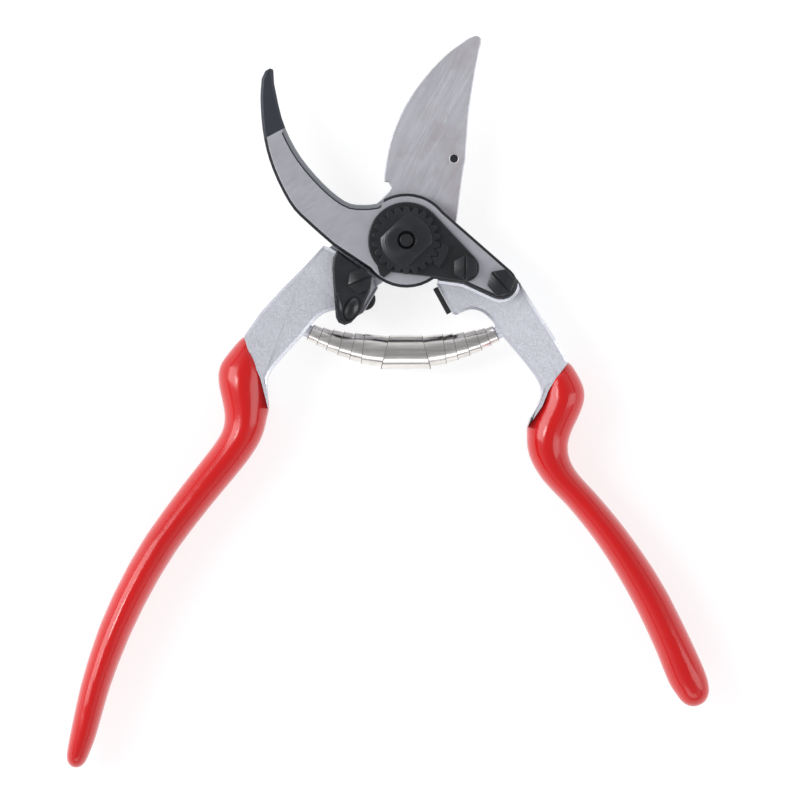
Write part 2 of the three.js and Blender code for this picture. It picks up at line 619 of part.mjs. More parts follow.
// The catch's lever lies on the left handle's face and turns about its screw.
function catchLever() {
  const low = ARM_TOP + CATCH_GAP;
  const high = low + CATCH_THICKNESS;
  return plate(CATCH_OUTLINE, low, high, 0.5)
    .subtract(pin(CATCH_SHAFT_RADIUS + CLEARANCE / 2, 0, NUT_TOP, CATCH_PIVOT, SHAFT_STEPS));
}

// The knob under the left handle, on a short arm from the catch's shaft.
function catchKnob() {
  const top = HEAD_PLATE_Z - CATCH_GAP;
  const low = top - KNOB_THICKNESS;
  const armLow = top - KNOB_ARM_THICKNESS;
  const [px, py] = CATCH_PIVOT;
  const [kx, ky] = KNOB_PLACE;
  const half = KNOB_ARM_HALF_WIDTH;
  const narrow = 0.8 * half;
  const arm = plate([[px - half, py], [kx - narrow, ky], [kx + narrow, ky], [px + half, py]], armLow, top);
  const profile = [
    [0, low], [KNOB_RADIUS - 0.6, low], [KNOB_RADIUS, low + 0.6],
    [KNOB_RADIUS, top - 0.3], [KNOB_RADIUS - 0.3, top], [0, top],
  ];
  const knob = turning(profile, KNOB_PLACE, SHAFT_STEPS);
  return arm
    .add(knob)
    .add(pin(KNOB_ARM_HALF_WIDTH + 0.1, armLow, top, CATCH_PIVOT, SHAFT_STEPS))
    .subtract(pin(CATCH_SHAFT_RADIUS + CLEARANCE / 2, 0, top + 1, CATCH_PIVOT, SHAFT_STEPS));
}

// The catch's slotted screw: its shank passes through the lever, the handle and the knob's arm.
function catchScrew() {
  const seat = ARM_TOP + CATCH_GAP + CATCH_THICKNESS + LAYER_GAP;
  const foot = HEAD_PLATE_Z - CATCH_GAP - KNOB_ARM_THICKNESS;
  const head = slottedScrew(CATCH_PIVOT, CATCH_SCREW_RADIUS, seat, 0.1, CATCH_HEAD_HEIGHT, CATCH_SLOT_ANGLE);
  return head.add(pin(CATCH_SHAFT_RADIUS, foot, seat + 0.3, CATCH_PIVOT, SHAFT_STEPS));
}

// ---- The spring ----

// How much further each band reaches under the next larger one.
const lapAngle = (BAND_LAP / SPRING_ARC_RADIUS) * (180 / Math.PI);

// A band's centre, length and direction on the spring's arc. Its edges are measured along +X.
function bandPlace(index) {
  const [cx, cy] = SPRING_ARC_CENTRE;
  const middle = (BAND_COUNT - 1) / 2;
  const lean = (x) => (Math.asin((x - cx) / SPRING_ARC_RADIUS) * 180) / Math.PI;
  const low = lean(BAND_EDGES[index]) - (index > middle ? lapAngle : 0);
  const high = lean(BAND_EDGES[index + 1]) + (index < middle ? lapAngle : 0);
  const angle = (low + high) / 2;
  const step = Math.abs(index - middle);
  const [dx, dy] = polar(SPRING_ARC_RADIUS, angle - 90);
  return {
    angle,
    centre: [cx + dx, cy + dy],
    length: 2 * SPRING_ARC_RADIUS * Math.sin(radians(high - low) / 2),
    radius: BAND_RADIUS - BAND_STEP * step,
  };
}

// One band of the spring: a short open sleeve of thin strip.
function springBand(index) {
  const band = bandPlace(index);
  const half = band.length / 2;
  const inner = band.radius - BAND_WALL;
  const profile = [[inner, -half], [band.radius, -half], [band.radius, half], [inner, half], [inner, -half]];
  const geometry = new THREE.LatheGeometry(profile.map(vector), BAND_SIDES);
  geometry.rotateZ(-Math.PI / 2).rotateZ(radians(band.angle));
  return solidOf(geometry.translate(band.centre[0], band.centre[1], SPRING_Z));
}

// ---- The assembly ----

const group = new THREE.Group();
group.add(
  piece("left_handle", leftHandle(), ...ALUMINIUM),
  piece("right_handle", rightHandle(), ...ALUMINIUM),
  piece("left_grip", leftGrip(), ...COATING),
  piece("right_grip", rightGrip(), ...COATING),
  piece("cutting_blade", cuttingBlade(), ...GROUND_STEEL),
  piece("blade_plug", bladePlug(), ...BLACK_STEEL),
  piece("anvil_hook", anvilHook(), ...GROUND_STEEL),
  piece("pivot_bolt", pivotBolt(), ...BLACK_STEEL),
  piece("pivot_nut", pivotNut(), ...BLACK_STEEL),
  piece("locking_segment", lockingSegment(), ...BLACK_STEEL),
  piece("segment_screw", segmentScrew(), ...BLACK_STEEL),
  piece("hook_screw", hookScrew(), ...BLACK_STEEL),
  piece("rubber_bumper", rubberBumper(), ...RUBBER),
  piece("catch_lever", catchLever(), ...BLACK_STEEL),
  piece("catch_knob", catchKnob(), ...BLACK_STEEL),
  piece("catch_screw", catchScrew(), ...BLACK_STEEL),
);
for (let i = 0; i < BAND_COUNT; i++) {
  const number = String(i + 1).padStart(2, "0");
  group.add(piece(`spring_band_${number}`, springBand(i), ...SPRING_STEEL));
}

export default group;
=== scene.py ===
"""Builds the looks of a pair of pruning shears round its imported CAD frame, on a pale studio floor."""

import math

import bmesh
import bpy
import numpy as np
from mathutils import Matrix, Vector
from mathutils.bvhtree import BVHTree


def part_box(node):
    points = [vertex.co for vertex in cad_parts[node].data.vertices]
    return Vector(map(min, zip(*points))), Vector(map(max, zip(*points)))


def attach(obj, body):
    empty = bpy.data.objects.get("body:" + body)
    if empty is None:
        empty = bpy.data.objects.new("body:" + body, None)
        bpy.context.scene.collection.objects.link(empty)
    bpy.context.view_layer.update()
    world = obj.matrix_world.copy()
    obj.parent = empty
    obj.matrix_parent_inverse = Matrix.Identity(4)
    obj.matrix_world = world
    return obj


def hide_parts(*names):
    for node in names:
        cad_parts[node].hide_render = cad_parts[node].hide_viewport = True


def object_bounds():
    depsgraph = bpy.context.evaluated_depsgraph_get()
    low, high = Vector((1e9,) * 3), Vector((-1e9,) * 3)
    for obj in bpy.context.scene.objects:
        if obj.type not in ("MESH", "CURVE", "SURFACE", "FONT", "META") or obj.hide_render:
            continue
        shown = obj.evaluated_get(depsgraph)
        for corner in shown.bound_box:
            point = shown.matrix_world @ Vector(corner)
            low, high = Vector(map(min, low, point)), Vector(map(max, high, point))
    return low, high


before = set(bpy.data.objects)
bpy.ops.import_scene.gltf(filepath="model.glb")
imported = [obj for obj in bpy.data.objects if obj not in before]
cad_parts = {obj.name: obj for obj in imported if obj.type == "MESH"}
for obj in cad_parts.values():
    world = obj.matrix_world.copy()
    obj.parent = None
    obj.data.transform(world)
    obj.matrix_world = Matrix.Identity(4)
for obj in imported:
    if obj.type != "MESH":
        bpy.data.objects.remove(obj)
CAD_LOW, CAD_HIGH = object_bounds()

bl_info = {
    "name": "Pruning shears",
    "version": (1, 0, 0),
    "blender": (4, 5, 0),
    "location": "View3D > Sidebar > Shears",
    "description": "Builds the finished pieces of a pair of pruning shears",
    "category": "Object",
}

MM = 0.001
ANVIL, BLADE, CATCH = "anvil_side", "blade_side", "catch"
HANDLES = (("left", BLADE, 30), ("right", ANVIL, 140))  # side, body, and the way to the head in degrees
WELD = 0.002 * MM
SAME_PLANE = math.radians(0.6)  # faces nearer to one plane than this are joined

MOUTH_Y = -52 * MM  # the coatings' mouths and the castings' bare arms lie above this
MOUTH_REACH = 0.9 * MM  # how far a coating's lip is drawn out over the arm
CASTING_TOP = 3.3 * MM  # the castings' top faces lie less than this below the hook's
CASTING_BOTTOM = 4.3 * MM  # and their bottom faces lie below this height
ROLLED_FALL = 0.6  # fall of a casting's sloped edge over its width

RING_SIDE = -5.6 * MM  # the hook's crescent lies on this side of its ring
INNER_WAY = (0.55, 0.6, 0.58)  # the way that the chamfer along the hook's inner edge faces
INNER_SHARE = 0.55
FLAT_SHARE = 0.97
BEVEL_WIDTH = 0.42 * MM
LINE_WIDTH = 0.34 * MM
LINE_END_GAP = 0.7 * MM
LINE, BEVEL, DONE = 1, 2, 3  # the hook's material numbers, and a mark on faces that keep number 0
SHORT_EDGE = 0.6 * MM  # an inset folds over on edges shorter than this

BAND_COUNT = 13
BAND_TURN_STEPS = 72
BAND_TAPER = 0.025
EDGE_AND_SHADE_WIDTH = 0.14 * MM  # the dark strip at a band's rim: the dull sheared edge, and painted shade beside it on the strip's face, drawn a little wider than the real edge so that it shows
MIDDLE_SKEW, OUTER_SKEW = 0.22, 0.08  # how much longer a band is on its outer curve


# ---- What a user would change ----


class ShearsSizes(bpy.types.PropertyGroup):
    """Sizes of the fine shape that is added to the CAD pieces."""

    coating_voxel: bpy.props.FloatProperty(
        name="Coating mesh", description="Mesh size of the dipped coating",
        default=0.45 * MM, min=0.3 * MM, unit="LENGTH")
    casting_round: bpy.props.FloatProperty(
        name="Casting edge", description="Width of the sloped edges of the cast handles",
        default=0.7 * MM, min=0.1 * MM, unit="LENGTH")
    coating_softness: bpy.props.IntProperty(
        name="Coating softness", description="Smoothing steps that round the coating", default=110, min=0)
    edge_break: bpy.props.FloatProperty(
        name="Edge break", description="Width of the broken edge on the steel pieces",
        default=0.12 * MM, min=0.0, unit="LENGTH")
    strip_wall: bpy.props.FloatProperty(
        name="Strip thickness", description="Thickness of the spring's strip",
        default=0.15 * MM, min=0.05 * MM, unit="LENGTH")
    camera_height: bpy.props.FloatProperty(
        name="Camera height", description="Height of the camera above the floor",
        default=2.0, min=0.3, unit="LENGTH")
    camera_view: bpy.props.FloatProperty(
        name="View width", description="Width that the camera sees at the shears",
        default=0.2, min=0.05, unit="LENGTH")


def colour(name, description, default):
    """A colour property that holds a linear colour from an sRGB hex value."""
    return bpy.props.FloatVectorProperty(
        name=name, description=description, subtype="COLOR", size=3, min=0, max=1, default=linear(default))


def linear(hex_value):
    """Linear red, green and blue of an sRGB hex value."""
    parts = [int(hex_value[i:i + 2], 16) / 255 for i in (1, 3, 5)]
    return tuple(p / 12.92 if p <= 0.04045 else ((p + 0.055) / 1.055) ** 2.4 for p in parts)


class ShearsColours(bpy.types.PropertyGroup):
    """Colours of the finishes."""

    coating: colour("Coating", "Dipped vinyl on the handles", "#cc0f10")
    aluminium: colour("Aluminium", "Tumbled cast aluminium", "#d9dae1")
    blade: colour("Blade steel", "Finely ground blade steel", "#d0d0d6")
    hook: colour("Hook steel", "Ground face of the hook", "#cdcdd3")
    bevel: colour("Hook bevel", "Ground bevel along the hook's inner edge", "#8f9297")
    oxide: colour("Black oxide", "Blackened steel", "#17181d")
    rubber: colour("Rubber", "Bumper rubber", "#1c1d1f")
    nickel: colour("Nickel", "Bright nickel on the spring's strip", "#f2eee9")
    floor: colour("Floor", "Studio floor", "#a0a0a0")


# ---- Materials ----


def add(tree, kind, inputs=None, **settings):
    """Adds a node with its settings, its sockets' values and its links."""
    node = tree.nodes.new(kind)
    for key, value in settings.items():
        setattr(node, key, value)
    for key, value in (inputs or {}).items():
        if isinstance(value, bpy.types.NodeSocket):
            tree.links.new(value, node.inputs[key])
        else:
            node.inputs[key].default_value = value
    return node


def new_material(name):
    """An empty material with its tree, shader and object coordinates in metres."""
    material = bpy.data.materials.new(name)
    material.use_nodes = True
    tree = material.node_tree
    shader = tree.nodes["Principled BSDF"]
    place = add(tree, "ShaderNodeTexCoord").outputs["Object"]
    return material, tree, shader, place


def grain(tree, place, period, stretch=(1, 1, 1), turn=0.0, detail=3.0, rough=0.6):
    """Noise whose features are period metres across, stretched along a turned direction."""
    turned = add(tree, "ShaderNodeMapping", {"Vector": place, "Rotation": (0, 0, turn)})
    scaled = add(tree, "ShaderNodeMapping", {"Vector": turned.outputs[0], "Scale": stretch})
    noise = add(tree, "ShaderNodeTexNoise", {
        "Vector": scaled.outputs[0], "Scale": 1 / period, "Detail": detail, "Roughness": rough})
    return noise.outputs["Fac"]


def between(tree, pattern, dark, light, start=0.3, end=0.7):
    """A colour that turns from dark to light as a pattern or a mask rises through a range."""
    rise = add(tree, "ShaderNodeMapRange", {
        "Value": pattern, "From Min": start, "From Max": end}, interpolation_type="SMOOTHSTEP")
    dark, light = (value if isinstance(value, bpy.types.NodeSocket) else (*value, 1)
                   for value in (dark, light))
    mix = add(tree, "ShaderNodeMix", {"Factor": rise.outputs[0], 6: dark, 7: light}, data_type="RGBA")
    return mix.outputs[2]


def shade(rgb, share):
    """The colour made darker or lighter."""
    return tuple(min(1.0, c * share) for c in rgb)


def surface(tree, shader, pattern, smooth, rough, depth, finer=(), start=0.3, end=0.7):
    """Lets a pattern set the roughness and a relief of a depth in metres, with finer reliefs over it."""
    sheen = add(tree, "ShaderNodeMapRange", {
        "Value": pattern, "From Min": start, "From Max": end, "To Min": smooth, "To Max": rough},
        interpolation_type="SMOOTHSTEP")
    tree.links.new(sheen.outputs[0], shader.inputs["Roughness"])
    below = {}
    for height, drop in ((pattern, depth), *finer):
        bump = add(tree, "ShaderNodeBump", {"Height": height, "Distance": drop, "Strength": 1.0, **below})
        below = {"Normal": bump.outputs[0]}
    tree.links.new(bump.outputs[0], shader.inputs["Normal"])


def dipped_vinyl(rgb):
    """Plasticised PVC, dipped hot: a deep gloss red with a slow ripple where the dip ran."""
    material, tree, shader, place = new_material("dipped_pvc_gloss")
    ripple = grain(tree, place, 14 * MM, detail=0)
    pores = grain(tree, place, 0.6 * MM, detail=2)  # drawn coarser than real pores, to show
    clouds = grain(tree, place, 30 * MM, detail=2)
    tree.links.new(between(tree, clouds, shade(rgb, 0.94), shade(rgb, 1.04)),
                   shader.inputs["Base Color"])
    shader.inputs["IOR"].default_value = 1.53
    surface(tree, shader, ripple, 0.13, 0.2, 0.04 * MM, [(pores, 0.002 * MM)], start=0.1, end=0.9)
    return material


def tumbled_aluminium(rgb):
    """Cast aluminium tumbled in stones: a bright skin of fine speckles that scatter the light."""
    material, tree, shader, place = new_material("tumbled_aluminium")
    speckle = grain(tree, place, 0.45 * MM, detail=3)  # drawn coarser than the real dents, to show
    patch = grain(tree, place, 5 * MM, detail=3)
    dots = add(tree, "ShaderNodeTexVoronoi", {"Vector": place, "Scale": 1 / (0.7 * MM)},
               feature="F1").outputs[0]
    base = between(tree, patch, shade(rgb, 0.93), shade(rgb, 1.0))
    flecks = between(tree, speckle, base, shade(rgb, 1.07), 0.42, 0.62)
    tree.links.new(flecks, shader.inputs["Base Color"])
    shader.inputs["Metallic"].default_value = 0.6
    surface(tree, shader, speckle, 0.36, 0.56, 0.035 * MM, [(dots, 0.012 * MM)])
    return material


def ground_steel(rgb):
    """Hardened carbon steel, surface ground: fine diagonal scratches and faint heat clouds."""
    material, tree, shader, place = new_material("ground_carbon_steel")
    lay = math.radians(-62)
    # Drawn coarser than real grinding scratches, which are too fine to show.
    scratch = grain(tree, place, 0.35 * MM, stretch=(0.035, 1, 1), turn=lay, detail=4)
    streak = grain(tree, place, 1.3 * MM, stretch=(0.12, 1, 1), turn=lay, detail=3)
    cloud = grain(tree, place, 9 * MM, detail=4)
    warm = tuple(a * b for a, b in zip(rgb, (0.88, 0.83, 0.81)))
    clouded = between(tree, cloud, warm, shade(rgb, 1.02), 0.35, 0.6)
    lined = between(tree, streak, shade(rgb, 0.9), clouded, 0.3, 0.6)
    tree.links.new(lined, shader.inputs["Base Color"])
    shader.inputs["Metallic"].default_value = 0.65
    surface(tree, shader, scratch, 0.34, 0.5, 0.004 * MM)
    return material


def mask_beyond(tree, place, point, direction):
    """1 on the far side of a line through a point, seen from above, and 0 on the near side."""
    offset = add(tree, "ShaderNodeVectorMath", {0: place, 1: (*point, 0)}, operation="SUBTRACT")
    along = add(tree, "ShaderNodeVectorMath", {0: offset.outputs[0], 1: (*direction, 0)},
                operation="DOT_PRODUCT").outputs["Value"]
    return add(tree, "ShaderNodeMath", {0: along, 1: 0.0}, operation="GREATER_THAN").outputs[0]


def facing(tree, direction, least):
    """1 where the surface faces a fixed direction more than a share of fully, and 0 elsewhere."""
    normal = add(tree, "ShaderNodeNewGeometry").outputs["True Normal"]
    turned = add(tree, "ShaderNodeVectorTransform", {"Vector": normal}, vector_type="NORMAL",
                 convert_from="WORLD", convert_to="OBJECT")
    share = add(tree, "ShaderNodeVectorMath", {0: turned.outputs[0], 1: direction},
                operation="DOT_PRODUCT").outputs["Value"]
    return add(tree, "ShaderNodeMath", {0: share, 1: least}, operation="GREATER_THAN").outputs[0]


def without(tree, mask, *others):
    """The part of a mask that lies outside some others."""
    for other in others:
        rest = add(tree, "ShaderNodeMath", {0: 1.0, 1: other}, operation="SUBTRACT").outputs[0]
        mask = add(tree, "ShaderNodeMath", {0: mask, 1: rest}, operation="MULTIPLY").outputs[0]
    return mask


def tip_line():
    """A point on the line across the hook where its bare tip begins, and the way to the tip."""
    low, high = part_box("anvil_hook")
    inset, length = 1.6 * MM, 17.3 * MM
    return Vector((low.x + inset, high.y - length, 0)), Vector((-0.467, 0.884, 0))


def hook_steel(face, bevel, oxide):
    """Forged steel blackened all over, then ground bright on its face and along its inner edge."""
    material, tree, shader, place = new_material("ground_hook_steel")
    point, way = tip_line()
    tip = mask_beyond(tree, place, point[:2], way[:2])
    # Drawn coarser than real grinding scratches, which are too fine to show.
    scratch = grain(tree, place, 0.3 * MM, stretch=(0.08, 1, 1), turn=math.radians(-35), detail=4)
    cloud = grain(tree, place, 9 * MM, detail=3)
    flat = facing(tree, (0, 0, 1), FLAT_SHARE)
    top = without(tree, flat, tip)
    ring = mask_beyond(tree, place, (RING_SIDE, 0), (1, 0))
    inner = without(tree, facing(tree, INNER_WAY, INNER_SHARE), ring, flat, tip)
    ground = between(tree, cloud, shade(face, 0.93), shade(face, 1.03))
    dark = between(tree, cloud, shade(oxide, 0.9), shade(oxide, 1.6))
    tipped = between(tree, tip, dark, shade(oxide, 4.5))
    edged = between(tree, inner, tipped, bevel)
    tree.links.new(between(tree, top, edged, ground), shader.inputs["Base Color"])
    bright = add(tree, "ShaderNodeMath", {0: top, 1: inner}, operation="MAXIMUM").outputs[0]
    metal = add(tree, "ShaderNodeMapRange", {"Value": bright, "To Min": 0.35, "To Max": 0.9})
    tree.links.new(metal.outputs[0], shader.inputs["Metallic"])
    surface(tree, shader, scratch, 0.38, 0.46, 0.003 * MM)
    return material


def plain_ground(rgb):
    """Steel ground on a narrow bevel: a flat grey with the wheel's fine lines."""
    material, tree, shader, place = new_material("ground_bevel_steel")
    lines = grain(tree, place, 0.4 * MM, detail=3)  # drawn coarser than real scratches, to show
    tree.links.new(between(tree, lines, shade(rgb, 0.9), shade(rgb, 1.1)),
                   shader.inputs["Base Color"])
    shader.inputs["Metallic"].default_value = 0.7
    surface(tree, shader, lines, 0.36, 0.46, 0.003 * MM)
    return material


def black_oxide(rgb):
    """Steel blackened in a hot salt bath: near black with a dull oily sheen and paler rubbed spots."""
    material, tree, shader, place = new_material("black_oxide_steel")
    fine = grain(tree, place, 0.5 * MM, detail=4)  # drawn coarser than the real texture, to show
    patch = grain(tree, place, 4 * MM, detail=3)
    tree.links.new(between(tree, patch, shade(rgb, 0.75), shade(rgb, 1.3)),
                   shader.inputs["Base Color"])
    shader.inputs["Specular IOR Level"].default_value = 0.6
    surface(tree, shader, fine, 0.28, 0.42, 0.012 * MM)
    return material


def turned_oxide(rgb):
    """Blackened steel that was turned first: its fine rings draw the light out into sectors."""
    material, tree, shader, place = new_material("turned_black_oxide")
    patch = grain(tree, place, 3 * MM, detail=3)
    tree.links.new(between(tree, patch, shade(rgb, 0.9), shade(rgb, 1.3)),
                   shader.inputs["Base Color"])
    # Drawn coarser than real turning rings, which are too fine to show.
    rings = add(tree, "ShaderNodeTexWave", {"Vector": place, "Scale": 1 / (2 * MM), "Distortion": 0.4},
                wave_type="RINGS", rings_direction="Z").outputs["Fac"]
    shader.inputs["Specular IOR Level"].default_value = 0.7
    shader.inputs["Roughness"].default_value = 0.26
    shader.inputs["Anisotropic"].default_value = 0.7
    around = add(tree, "ShaderNodeTangent", direction_type="RADIAL", axis="Z")
    tree.links.new(around.outputs[0], shader.inputs["Tangent"])
    bump = add(tree, "ShaderNodeBump", {"Height": rings, "Distance": 0.004 * MM, "Strength": 1.0})
    tree.links.new(bump.outputs[0], shader.inputs["Normal"])
    return material


def bumper_rubber(rgb):
    """Moulded nitrile rubber: matt black with a fine pebble."""
    material, tree, shader, place = new_material("nitrile_rubber")
    pebble = grain(tree, place, 0.4 * MM, detail=3)
    tree.links.new(between(tree, pebble, shade(rgb, 0.8), shade(rgb, 1.2)),
                   shader.inputs["Base Color"])
    surface(tree, shader, pebble, 0.6, 0.75, 0.02 * MM)
    return material


def nickel_strip(rgb):
    """Rolled spring strip, bright nickel plated: long streaks of reflection with a warm cast."""
    material, tree, shader, place = new_material("bright_nickel_strip")
    roll = grain(tree, place, 1.0 * MM, stretch=(0.04, 1, 1), detail=3)
    warm = grain(tree, place, 7 * MM, detail=2)
    plated = between(tree, warm, shade(rgb, 0.88), shade(rgb, 1.04))
    tree.links.new(between(tree, roll, shade(rgb, 0.8), plated, 0.35, 0.6),
                   shader.inputs["Base Color"])
    shader.inputs["Metallic"].default_value = 1.0
    surface(tree, shader, roll, 0.14, 0.26, 0.01 * MM)
    return material


def sheared_edge_and_painted_shade(rgb):
    """The strip's sheared edge is dull where the plating is thin, and is darkened further as painted shade
    that stands for the shadow line at each band's rim.
    """
    material, tree, shader, place = new_material("sheared_edge_and_shade")
    torn = grain(tree, place, 0.3 * MM, detail=3)
    tree.links.new(between(tree, torn, shade(rgb, 0.1), shade(rgb, 0.3)),
                   shader.inputs["Base Color"])
    shader.inputs["Metallic"].default_value = 0.7
    surface(tree, shader, torn, 0.4, 0.6, 0.01 * MM)
    return material


def matt_floor(rgb):
    """Opal acrylic table, lit a little from below: plain, pale and matt with a faint tooth."""
    material, tree, shader, place = new_material("opal_acrylic_table")
    tooth = grain(tree, place, 1.5 * MM, detail=2)
    shader.inputs["Base Color"].default_value = (*rgb, 1)
    dull = add(tree, "ShaderNodeMapRange", {
        "Value": tooth, "From Min": 0.3, "From Max": 0.7, "To Min": 0.85, "To Max": 0.95},
        interpolation_type="SMOOTHSTEP")
    tree.links.new(dull.outputs[0], shader.inputs["Roughness"])
    shader.inputs["Specular IOR Level"].default_value = 0.1
    shader.inputs["Emission Color"].default_value = (1, 1, 1, 1)
    shader.inputs["Emission Strength"].default_value = 0.74
    return material


# ---- Mesh work ----


def copy_of(node):
    """A new object with the welded mesh of a CAD node, its flat faces joined."""
    mesh = bpy.data.meshes.new(node + "_finished")
    work = bmesh.new()
    work.from_mesh(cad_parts[node].data)
    bmesh.ops.remove_doubles(work, verts=work.verts, dist=WELD)
    bmesh.ops.dissolve_limit(work, angle_limit=SAME_PLANE, verts=work.verts, edges=work.edges)
    work.to_mesh(mesh)
    work.free()
    piece = bpy.data.objects.new(node + "_finished", mesh)
    bpy.context.scene.collection.objects.link(piece)
    return piece


def fill_hollow(piece):
    """Drops the walls of a sleeve's hollow and closes its mouth, so that it hugs what fills it."""
    work = bmesh.new()
    work.from_mesh(piece.data)
    bmesh.ops.triangulate(work, faces=work.faces)
    tree = BVHTree.FromBMesh(work)
    step = 0.2 * MM
    inner = []
    for face in work.faces:
        start = face.calc_center_median() + face.normal * step
        if all(tree.ray_cast(start, Vector((0, 0, way)))[0] is not None for way in (1, -1)):
            inner.append(face)
    bmesh.ops.delete(work, geom=inner, context="FACES")
    rim = [edge for edge in work.edges if edge.is_boundary]
    bmesh.ops.triangle_fill(work, edges=rim, use_beauty=True)
    bmesh.ops.recalc_face_normals(work, faces=work.faces)
    work.to_mesh(piece.data)
    work.free()


def reach_over(piece, direction, distance):
    """Draws a filled coating's mouth out over the arm that it grips."""
    upright, share = 0.02, 0.35
    work = bmesh.new()
    work.from_mesh(piece.data)
    bmesh.ops.remove_doubles(work, verts=work.verts, dist=WELD)
    mouth = {vert for face in work.faces for vert in face.verts
             if abs(face.normal.z) < upright and face.normal.dot(direction) > share
             and face.calc_center_median().y > MOUTH_Y}
    for vert in mouth:
        vert.co += direction * distance
    work.to_mesh(piece.data)
    work.free()


def roll_edges(piece, width, direction, mouth_top):
    """Slopes the edges of a casting's two broad faces, except where the coating grips it."""
    work = bmesh.new()
    work.from_mesh(piece.data)
    level, away = 0.9, -0.5
    depths = {1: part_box("anvil_hook")[1].z - CASTING_TOP, -1: -CASTING_BOTTOM}
    for side, depth in depths.items():
        broad = [face for face in work.faces if face.normal.z * side > level and
                 face.calc_center_median().z * side > depth and face.calc_center_median().y > MOUTH_Y]
        rim = {vert for face in broad for edge in face.edges for vert in edge.verts
               if any(other not in broad for other in edge.link_faces)}
        gripped = {vert for face in work.faces if face.normal.dot(direction) < away for vert in face.verts
                   if vert.co.y < mouth_top}
        bmesh.ops.inset_region(work, faces=broad, thickness=width, use_even_offset=True, use_boundary=True)
        for vert in rim:
            if vert.is_valid and vert not in gripped:
                vert.co.z -= side * width * ROLLED_FALL
    work.to_mesh(piece.data)
    work.free()


def towards_head(degrees):
    """The way from a coating along its arm to the head, from its angle seen from above."""
    return Vector((math.cos(math.radians(degrees)), math.sin(math.radians(degrees)), 0))


def apply_modifiers(piece):
    """Makes the piece's modifiers part of its mesh."""
    graph = bpy.context.evaluated_depsgraph_get()
    made = bpy.data.meshes.new_from_object(piece.evaluated_get(graph))
    old = piece.data
    piece.modifiers.clear()
    piece.data = made
    bpy.data.meshes.remove(old)


def soften(piece, voxel, steps):
    """Remeshes a piece evenly and smooths it, so that its facets and edges turn round."""
    remesh = piece.modifiers.new("remesh", "REMESH")
    remesh.mode = "VOXEL"
    remesh.voxel_size = voxel
    smooth = piece.modifiers.new("smooth", "SMOOTH")
    smooth.factor = 0.5
    smooth.iterations = steps
    apply_modifiers(piece)
    piece.data.shade_smooth()


def break_edges(piece, width, angle=25, segments=2):
    """Bevels the sharp edges and shades what is left smooth."""
    bevel = piece.modifiers.new("bevel", "BEVEL")
    bevel.width = width
    bevel.segments = segments
    bevel.limit_method = "ANGLE"
    bevel.angle_limit = math.radians(angle)
    apply_modifiers(piece)
    piece.data.shade_smooth()
    piece.data.set_sharp_from_angle(angle=math.radians(angle))
    flatten = piece.modifiers.new("flatten", "WEIGHTED_NORMAL")
    flatten.weight = 100
    flatten.keep_sharp = True
    apply_modifiers(piece)


def carve(piece, centre, radii, turn):
    """Cuts a smooth dish, the shape of an ellipsoid, out of a piece."""
    mesh = bpy.data.meshes.new("dish")
    work = bmesh.new()
    bmesh.ops.create_uvsphere(work, u_segments=32, v_segments=16, radius=1.0)
    shape = Matrix.Translation(centre) @ Matrix.Rotation(turn, 4, "Z") @ Matrix.Diagonal((*radii, 1))
    bmesh.ops.transform(work, matrix=shape, verts=work.verts)
    work.to_mesh(mesh)
    work.free()
    cutter = bpy.data.objects.new("dish", mesh)
    bpy.context.scene.collection.objects.link(cutter)
    cut = piece.modifiers.new("carve", "BOOLEAN")
    cut.operation = "DIFFERENCE"
    cut.object = cutter
    apply_modifiers(piece)
    bpy.data.objects.remove(cutter)
    bpy.data.meshes.remove(mesh)


def settle(piece, material, body, *nodes):
    """Gives a piece its finish and its body, and lets it stand for its CAD nodes."""
    piece.data.materials.clear()
    piece.data.materials.append(material)
    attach(piece, body)
    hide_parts(*nodes)


# ---- The operators ----


class MakeCoatings(bpy.types.Operator):
    """The two dipped coatings, rounded all over, with a soft lip at their edge."""

    bl_idname = "shears.make_coatings"
    bl_label = "Make the coatings"

    def execute(self, context):
        sizes, colours = context.scene.shears_sizes, context.scene.shears_colours
        finish = dipped_vinyl(colours.coating)
        for side, body, way in HANDLES:
            piece = copy_of(side + "_grip")
            fill_hollow(piece)
            reach_over(piece, towards_head(way), MOUTH_REACH)
            soften(piece, sizes.coating_voxel, sizes.coating_softness)
            settle(piece, finish, body, side + "_grip")
        return {"FINISHED"}


class MakeCastings(bpy.types.Operator):
    """The two cast handles, their edges sloped and softened as tumbling leaves them."""

    bl_idname = "shears.make_castings"
    bl_label = "Make the castings"

    def execute(self, context):
        sizes, colours = context.scene.shears_sizes, context.scene.shears_colours
        finish = tumbled_aluminium(colours.aluminium)
        for side, body, way in HANDLES:
            piece = copy_of(side + "_handle")
            roll_edges(piece, sizes.casting_round, towards_head(way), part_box(side + "_grip")[1].y)
            break_edges(piece, sizes.edge_break * 2, angle=15, segments=3)
            settle(piece, finish, body, side + "_handle")
        return {"FINISHED"}


